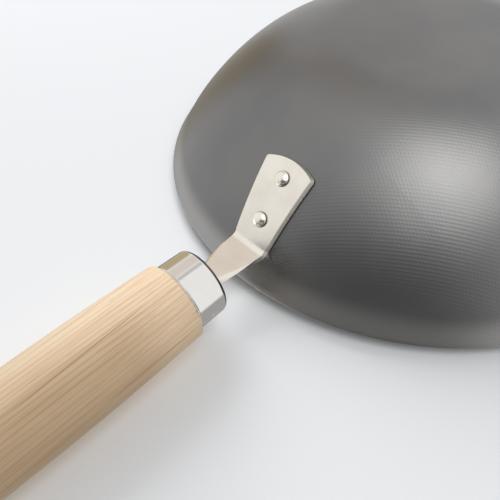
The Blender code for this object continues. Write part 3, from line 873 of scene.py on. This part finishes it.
bend_tangent = BEND_RADIUS * math.tan((wall_at(PLATE_START)[1] - HANDLE_RISE) / 2)
bend_point, bend_slope = wall_at(PLATE_START + bend_tangent)
bend_reach = BEND_RADIUS + BRACKET_SHEET
bend_centre = bend_point + outward(bend_slope) * (SEAT_GAP + bend_reach)
neck_start = bend_centre - outward(HANDLE_RISE) * bend_reach
channel_length = NECK_LENGTH - bend_tangent - CHANNEL_GAP
print("bend turns", round(math.degrees(bend_slope - HANDLE_RISE), 1), "degrees")

# %% Rows of the strip
PLATE_ROWS = 44
BEND_ROWS = 14
NECK_ROWS = 24
TAB_ROWS = 2


def plate_row(share):
    """Share is 1 at the plate's round end and 0 at the bend."""
    from_bend = bend_tangent + (PLATE_LENGTH - bend_tangent) * share
    half = between(NECK_WIDTH, PLATE_END_WIDTH, from_bend / PLATE_LENGTH) / 2

    def place(across):
        crown = PLATE_CROWN * (1.0 - across * across) * share
        point, slope = wall_at(PLATE_START + from_bend + crown)
        return point + outward(slope) * SEAT_GAP, slope

    return place, half, half


def bend_row(share):
    """Share is 0 at the plate and 1 at the neck."""
    slope = between(bend_slope, HANDLE_RISE, share)

    def place(across):
        return bend_centre - outward(slope) * bend_reach, slope

    return place, NECK_WIDTH / 2, NECK_WIDTH / 2


def neck_row(share):
    """Share is 0 at the bend, 1 at the neck's end, and more on the flat tab."""
    shaped = min(share / NECK_SHAPED, 1.0)
    half = between(NECK_WIDTH, NECK_END_WIDTH, shaped * shaped) / 2
    flat = between(NECK_WIDTH / 2, NECK_FLAT_HALF, shaped ** ROLL_ONSET)

    def place(across):
        return neck_start + handle_along * channel_length * share, HANDLE_RISE

    return (place, half, flat) if share <= 1.0 else (place, NECK_WIDTH / 2, NECK_WIDTH / 2)


# %% The rows in order, from the plate's round end to the tab
strip_rows = [plate_row(1.0 - row / PLATE_ROWS) for row in range(PLATE_ROWS)]
strip_rows += [bend_row(row / BEND_ROWS) for row in range(BEND_ROWS)]
strip_rows += [neck_row(row / NECK_ROWS) for row in range(NECK_ROWS + 1)]
tab_share = (CHANNEL_GAP + TAB_DEPTH) / channel_length
strip_rows += [neck_row(1.0 + tab_share * row / TAB_ROWS) for row in range(1, TAB_ROWS + 1)]
print("strip has", len(strip_rows), "rows")

# %% Columns of the strip
INNER_COLUMNS = 6
OUTER_COLUMNS = 10
DIMPLE_DEPTH = 0.00022
DIMPLE_RADIUS = 0.0062
half_columns = INNER_COLUMNS + OUTER_COLUMNS


def developed_width(column, half):
    """Distance of a column from the strip's middle line, before the edges are rolled."""
    inner = TAB_HALF_WIDTH * min(column / INNER_COLUMNS, 1.0)
    outer = (half - TAB_HALF_WIDTH) * max(column - INNER_COLUMNS, 0) / OUTER_COLUMNS
    return inner + outer


rivet_points = [wall_at(PLATE_START + distance)[0] for distance in RIVET_PLACES.values()]


def dimple(point):
    """How far a point of the plate was pressed in beside the nearest rivet."""
    away = min((point - rivet).length for rivet in rivet_points)
    return DIMPLE_DEPTH * max(1.0 - (away / DIMPLE_RADIUS) ** 2, 0.0) ** 2


def strip_point(place, half, flat, column):
    developed = developed_width(abs(column), half)
    centre, slope = place(developed / half)
    roll = max(developed - flat, 0.0) / EDGE_ROLL
    inside = EDGE_ROLL - BRACKET_SHEET
    side = min(developed, flat) + math.sin(roll) * inside
    point = centre - outward(slope) * (1.0 - math.cos(roll)) * inside
    point.y = math.copysign(side, column)
    return point - outward(slope) * dimple(point)


print("strip has", 2 * half_columns + 1, "columns")

# %% [markdown]
# Two blocks of the grid lie beside the narrow tab. They are deleted before the grid is bent.

# %% Shape the strip
PLATE_CORNER = 0.0008
END_BELOW = 0.02           # the plate's end lies more than this below the bend


def column_and_row(point):
    """Where a point of the flat grid lies, counted in columns and rows."""
    return point.x * half_columns, (point.y + 1.0) / 2 * (len(strip_rows) - 1)


bm = bmesh.new()
bmesh.ops.create_grid(bm, x_segments=2 * half_columns, y_segments=len(strip_rows) - 1, size=1.0)
shaped_rows = PLATE_ROWS + BEND_ROWS + NECK_ROWS
beside_tab = []
for face in bm.faces:
    column, row = column_and_row(face.calc_center_median())
    if row > shaped_rows and abs(column) > INNER_COLUMNS:
        beside_tab.append(face)
bmesh.ops.delete(bm, geom=beside_tab, context="FACES")
for vert in bm.verts:
    column, row = column_and_row(vert.co)
    vert.co = strip_point(*strip_rows[round(row)], round(column))
bm.normal_update()
plate_face = min(bm.faces, key=lambda face: face.calc_center_median().z)
if plate_face.normal.x < 0.0:
    bmesh.ops.reverse_faces(bm, faces=bm.faces)
corners = [vert for vert in bm.verts
           if len(vert.link_edges) == 2 and vert.co.z < bend_point.z - END_BELOW]
bmesh.ops.bevel(bm, geom=corners, affect="VERTICES", offset=PLATE_CORNER, segments=3,
                profile=0.5, material=-1)
print("strip skin has", len(bm.faces), "faces,", len(corners), "round corners")

# %% [markdown]
# The skin so far is the side that lies on the wall. A copy of it, lifted by the sheet's
# thickness, is the outer side. Shears cut a sheet half way, and then it breaks. The break
# flares out to the far side, so the inner side's edge is drawn out along the plate.

# %% The strip's two sides
EDGE_FLARE = 0.0008
FLARE_END = neck_start.x + 0.004    # the flare fades out on the neck, and ends there
FLARE_FADE = 0.007

bm.normal_update()
inner_faces = bm.faces[:]
inner_verts = bm.verts[:]
copied = bmesh.ops.duplicate(bm, geom=bm.verts[:] + bm.edges[:] + bm.faces[:])
outer_verts = only(bmesh.types.BMVert, copied["geom"])
bm.normal_update()
for vert in outer_verts:
    vert.co += vert.normal * BRACKET_SHEET
drawn_out = {}
for vert in inner_verts:
    rim = [edge.other_vert(vert) for edge in vert.link_edges if edge.is_boundary]
    if len(rim) == 2 and vert.co.x < FLARE_END:
        fade = min((FLARE_END - vert.co.x) / FLARE_FADE, 1.0)
        out = (rim[0].co - rim[1].co).cross(vert.normal).normalized()
        if out.dot(vert.co - vert.link_faces[0].calc_center_median()) < 0.0:
            out.negate()
        drawn_out[vert] = out * EDGE_FLARE * fade
for vert, step in drawn_out.items():
    vert.co += step
bmesh.ops.reverse_faces(bm, faces=inner_faces)
print("edge is drawn out at", len(drawn_out), "points")

# %% [markdown]
# The two edges are bridged, and a loop between them ends the cut and starts the flare. The
# loop is a sharp line. A Bevel modifier breaks the edges, which catch a thin line of light.

# %% The strip's cut edge
SHEARED_EDGE = 0.00025
CUT_DEPTH = 0.62           # share of the thickness that the shears cut before it breaks
CUT_SLANT = 0.12           # share of the flare that the clean cut already has

bridge = bmesh.ops.bridge_loops(bm, edges=[edge for edge in bm.edges if edge.is_boundary])
halves = bmesh.ops.subdivide_edges(bm, edges=bridge["edges"], cuts=1)
break_verts = set()
for vert in only(bmesh.types.BMVert, halves["geom_inner"]):
    ends = [edge.other_vert(vert) for edge in vert.link_edges]
    flared = [end for end in ends if end in drawn_out]
    above = [end for end in ends if end in outer_verts]
    if flared and above:
        vert.co = above[0].co.lerp(flared[0].co, CUT_DEPTH)
        vert.co -= drawn_out[flared[0]] * (CUT_DEPTH - CUT_SLANT)
        break_verts.add(vert)
for edge in bm.edges:
    edge.smooth = not break_verts.issuperset(edge.verts)
bmesh.ops.recalc_face_normals(bm, faces=bm.faces)
bracket = keep("bracket_strip", bm, satin_steel, "bracket_steel", "handle_bracket")
break_edges(bracket, "sheared_edge", SHEARED_EDGE).harden_normals = True

# %% [markdown]
# ## The rivets
#
# A rivet is turned, put through its hole, and closed with a hammer. Its outline is spun like
# the pot's. The hammer leaves small flats on the dome, so each vertex of the dome that
# stands outside a flat is pressed onto it. The flats overlap, as blows do. The attribute that
# the finish reads for its painted shade is 1 in the corner under the head and 0 from half way
# up.

# %% Rivets
RIVET_SHANK = 0.0022
RIVET_HEAD = 0.0035
RIVET_DOME = 0.0019
RIVET_TAIL_HEAD = 0.0036
RIVET_TAIL_HEIGHT = 0.0012
RIVET_SPINS = {"upper_rivet": 10, "lower_rivet": 145}
HAMMER_BLOWS = ((0, 8, 0.97), (24, 48, 0.955), (95, 48, 0.97), (150, 48, 0.95),
                (215, 48, 0.965), (280, 48, 0.95))     # bearing, lean and distance of a flat
CORNER_REACH = 0.55        # share of the dome's height up to which its corner is painted in shade


def plate_matrix(distance):
    """Frame on the plate: Z out of the pot, origin on the wall's outer side."""
    point, slope = wall_at(PLATE_START + distance)
    return frame_at(point, -along(slope), Vector((0.0, -1.0, 0.0)), outward(slope))


def strike(bm, top, spin):
    """Presses the dome's vertices onto the flats that the hammer left."""
    for bearing, lean, away in HAMMER_BLOWS:
        lean = math.radians(lean)
        turn = math.radians(bearing + spin)
        blow = Vector((math.sin(lean) * math.cos(turn), math.sin(lean) * math.sin(turn),
                       math.cos(lean)))
        for vert in bm.verts:
            unit = Vector((vert.co.x / RIVET_HEAD, vert.co.y / RIVET_HEAD,
                           (vert.co.z - top) / RIVET_DOME))
            over = unit.dot(blow) - away
            if unit.z > 0.01 and over > 0.0:
                unit -= blow * over
                vert.co = (unit.x * RIVET_HEAD, unit.y * RIVET_HEAD, top + unit.z * RIVET_DOME)


# %% Make both rivets
head_seat = 2 * SEAT_GAP + BRACKET_SHEET - DIMPLE_DEPTH
tail_seat = -POT_SHEET - SEAT_GAP - RIVET_TAIL_HEAD ** 2 / RIM_RADIUS
tail_edge = RIVET_TAIL_HEIGHT / 2
rivet_outline = dome_line(RIVET_HEAD, RIVET_DOME, head_seat, 6)
rivet_outline += [(RIVET_SHANK, head_seat), (RIVET_SHANK, tail_seat),
                  (RIVET_TAIL_HEAD, tail_seat)]
rivet_outline += round_corner(RIVET_TAIL_HEAD - tail_edge, tail_seat - tail_edge, tail_edge,
                              0, -90, 4)
rivet_outline += [(0.0, tail_seat - RIVET_TAIL_HEIGHT)]
rivets = []
for name, distance in RIVET_PLACES.items():
    bm = turned(rivet_outline, 64)
    strike(bm, head_seat, RIVET_SPINS[name])
    # Painted shade: this attribute is 1 in the corner under the head.
    corner_shade = bm.verts.layers.float.new("corner_shade")
    for vert in bm.verts:
        rise = (vert.co.z - head_seat) / RIVET_DOME
        vert[corner_shade] = max(1.0 - rise / CORNER_REACH, 0.0) if rise > -0.01 else 0.0
    bmesh.ops.transform(bm, matrix=plate_matrix(distance), verts=bm.verts)
    rivets.append(keep(name + "_head", bm, struck_steel, "bracket_steel", name))

# %% [markdown]
# ## The ferrule and its pin
#
# The ferrule is a cup with a rounded front corner and a small bead round its open end. Spun
# from its outer side only, it gets its wall inwards from Solidify. The pin goes through it,
# and its ends were dressed into low domes.

# %% Ferrule
FERRULE_RADIUS = 0.01535
FERRULE_FRONT_RADIUS = 0.01490
FERRULE_WALL = 0.0008
FERRULE_CORNER = 0.0022
FRONT_RING = 0.006         # rings of edges on the flat front keep it flat
CORNER_RING = 0.0005
FERRULE_RINGS = (0.16, 0.3, 0.5, 0.7, 0.85, 0.925)     # shares of its length
BEAD = 0.00035
BEAD_SINK = 0.0001


def ferrule_radius_at(station):
    return between(FERRULE_FRONT_RADIUS, FERRULE_RADIUS, station / FERRULE_LENGTH)


corner_radius = ferrule_radius_at(FERRULE_CORNER) - FERRULE_CORNER
outline = [(0.0, 0.0), (FRONT_RING, 0.0), (corner_radius - CORNER_RING, 0.0)]
outline += round_corner(corner_radius, FERRULE_CORNER, FERRULE_CORNER, -90, 0, 12)
outline += [(ferrule_radius_at(share * FERRULE_LENGTH), share * FERRULE_LENGTH)
            for share in FERRULE_RINGS]
outline += round_corner(FERRULE_RADIUS - BEAD_SINK, FERRULE_LENGTH - BEAD, BEAD, -75, 75, 8)
bm = turned(outline, 128, handle_matrix, shell=True)
ferrule = keep("ferrule_cup", bm, polished_steel, "ferrule_steel", "ferrule")
give_wall(ferrule, "cup_wall", FERRULE_WALL)

# %% Pin
PIN_RADIUS = 0.0010
PIN_DOME = 0.0003
PIN_PROUD = 0.0002         # how far its ends stand out of the ferrule
PIN_TURN = math.radians(10)

pin_half = ferrule_radius_at(PIN_STATION) + PIN_PROUD
pin_end = dome_line(PIN_RADIUS, PIN_DOME, pin_half - PIN_DOME, 18)
outline = pin_end + [(radius, -height) for radius, height in reversed(pin_end)]
pin_turn = Matrix.Rotation(-PIN_TURN, 4, "Z") @ Matrix.Rotation(math.pi / 2, 4, "X")
pin_matrix = handle_matrix @ Matrix.Translation((0.0, 0.0, PIN_STATION)) @ pin_turn
bm = turned(outline, 32, pin_matrix)
pin = keep("cross_pin", bm, struck_steel, "bracket_steel", "ferrule_pin")

# %% [markdown]
# ## The grip
#
# The grip is turned on a lathe, so it is spun too: a spigot inside the ferrule, a rounded
# shoulder behind it, a slow swell for the palm, a rounded tail, and the socket for the nut.
# The outline goes once round, from the spigot over the outside and back through the bore.

# %% The grip's sizes and its spigot
GRIP_FRONT_RADIUS = 0.01735
GRIP_SWELL_RADIUS = 0.01870
GRIP_TAIL_RADIUS = 0.01750
GRIP_SHOULDER = 0.0012
GRIP_TAIL_ROUND = 0.0060
TAIL_SOCKET_RADIUS = 0.0082
TAIL_SOCKET_DEPTH = 0.0060
ROD_RADIUS = 0.0035
BORE_RADIUS = ROD_RADIUS + SEAT_GAP
SOCKET_EDGE = 0.0006
SOCKET_RING = 0.0004       # a ring of edges this far above the socket's floor

spigot_front = FERRULE_WALL + SEAT_GAP
spigot_edge = FERRULE_FRONT_RADIUS - FERRULE_CORNER - SEAT_GAP
spigot_side = FERRULE_CORNER + SEAT_GAP
grip_outline = [(BORE_RADIUS, spigot_front), (spigot_edge, spigot_front)]
for station in (spigot_side, GRIP_START):
    wood_radius = ferrule_radius_at(min(station, FERRULE_LENGTH)) - FERRULE_WALL - SEAT_GAP
    grip_outline.append((wood_radius, station))
print("spigot is", round((GRIP_START - spigot_front) * 1000, 2), "mm long")

# %% Grip
SWELL_ROWS = 32

body_start = GRIP_START + GRIP_SHOULDER
body_end = GRIP_END - GRIP_TAIL_ROUND
grip_outline += round_corner(GRIP_FRONT_RADIUS - GRIP_SHOULDER, body_start, GRIP_SHOULDER,
                             -90, 0, 8)
swell = GRIP_SWELL_RADIUS - (GRIP_FRONT_RADIUS + GRIP_TAIL_RADIUS) / 2
for step in range(1, SWELL_ROWS + 1):
    share = step / SWELL_ROWS
    straight = between(GRIP_FRONT_RADIUS, GRIP_TAIL_RADIUS, share)
    grip_outline.append((straight + swell * math.sin(math.pi * share),
                         between(body_start, body_end, share)))
grip_outline += round_corner(GRIP_TAIL_RADIUS - GRIP_TAIL_ROUND, body_end, GRIP_TAIL_ROUND,
                             0, 90, 12)[1:]
grip_outline += round_corner(TAIL_SOCKET_RADIUS + SOCKET_EDGE, GRIP_END - SOCKET_EDGE,
                             SOCKET_EDGE, 90, 180, 4)
socket_floor = GRIP_END - TAIL_SOCKET_DEPTH
grip_outline += [(TAIL_SOCKET_RADIUS, socket_floor + SOCKET_RING),
                 (TAIL_SOCKET_RADIUS, socket_floor),
                 (BORE_RADIUS, socket_floor), (BORE_RADIUS, spigot_front)]
bm = turned(grip_outline, 128, handle_matrix)
grip = keep("turned_grip", bm, turned_wood, "grip_wood", "wooden_grip")

# %% [markdown]
# ## Washer and cap nut
#
# They close the rod in the grip's tail. The washer is a spun ring. The nut starts as a
# six-sided cone of even width. Its top corners are turned away on a lathe, so slanting planes
# all round cut them off here. A spun dome covers the end of the rod.

# %% Washer
WASHER_RADIUS = 0.0068
WASHER_THICKNESS = 0.0012
WASHER_EDGE = 0.0002

washer_low = socket_floor + SEAT_GAP
washer_high = washer_low + WASHER_THICKNESS
outline = [(BORE_RADIUS, washer_low), (WASHER_RADIUS - WASHER_EDGE, washer_low),
           (WASHER_RADIUS, washer_low + WASHER_EDGE), (WASHER_RADIUS, washer_high - WASHER_EDGE),
           (WASHER_RADIUS - WASHER_EDGE, washer_high), (BORE_RADIUS, washer_high),
           (BORE_RADIUS, washer_low)]
bm = turned(outline, 64, handle_matrix)
keep("socket_washer", bm, satin_steel, "bracket_steel", "tail_washer")

# %% Cap nut
NUT_ACROSS_FLATS = 0.0120
NUT_HEIGHT = 0.0050
NUT_DOME_RADIUS = 0.0052
NUT_DOME_HEIGHT = 0.0042
NUT_DOME_ROOT = 0.0010     # how deep the dome is sunk into the nut
NUT_EDGE = 0.0004
TURNED_EDGE = NUT_ACROSS_FLATS / 2 - 0.0001     # radius at which the corners are turned away

nut_low = washer_high + SEAT_GAP
nut_high = nut_low + NUT_HEIGHT
corner_reach = NUT_ACROSS_FLATS / math.sqrt(3.0)
bm = bmesh.new()
bmesh.ops.create_cone(bm, cap_ends=True, segments=6, radius1=corner_reach,
                      radius2=corner_reach, depth=NUT_HEIGHT)
bmesh.ops.translate(bm, vec=(0.0, 0.0, (nut_low + nut_high) / 2), verts=bm.verts)
bmesh.ops.bevel(bm, geom=bm.edges[:], affect="EDGES", offset=NUT_EDGE, segments=3, profile=0.5,
                material=-1)
for bearing in range(0, 360, 10):
    side = math.radians(bearing)
    slant = Vector((math.cos(side) * 0.5, math.sin(side) * 0.5, math.sqrt(0.75)))
    corner = Vector((math.cos(side), math.sin(side), 0.0)) * TURNED_EDGE
    corner.z = nut_high
    cut = bmesh.ops.bisect_plane(bm, geom=bm.verts[:] + bm.edges[:] + bm.faces[:],
                                 plane_co=corner, plane_no=slant, clear_outer=True)
    rim = only(bmesh.types.BMEdge, cut["geom_cut"])
    if rim:
        bmesh.ops.holes_fill(bm, edges=rim, sides=0)
print("nut has", len(bm.faces), "faces without its dome")

# %% The nut's dome
outline = dome_line(NUT_DOME_RADIUS, NUT_DOME_HEIGHT, nut_high, 6)
outline += [(NUT_DOME_RADIUS, nut_high - NUT_DOME_ROOT), (0.0, nut_high - NUT_DOME_ROOT)]
dome_mesh = mesh_of("dome", turned(outline, 48))
bm.from_mesh(dome_mesh)
bpy.data.meshes.remove(dome_mesh)
bmesh.ops.transform(bm, matrix=handle_matrix, verts=bm.verts)
keep("cap_nut", bm, satin_steel, "bracket_steel", "tail_cap_nut")

# %% [markdown]
# ## Two lamps that light only some pieces
#
# The broad gleam on the dark iron needs a strong lamp, which would bleach the bright steel.
# So that lamp is linked to the pot, the rivets and the pin, and lights nothing else. The grip
# has a soft lamp of its own on its shaded side, which leaves the table's shadow as deep.

# %% Link the two lamps
def light_only(lamp, pieces):
    group = bpy.data.collections.new(lamp.name + "_group")
    for piece in pieces:
        group.objects.link(piece)
    lamp.light_linking.receiver_collection = group


light_only(under_gleam, [pot, pin, *rivets])
light_only(grip_side, [grip])
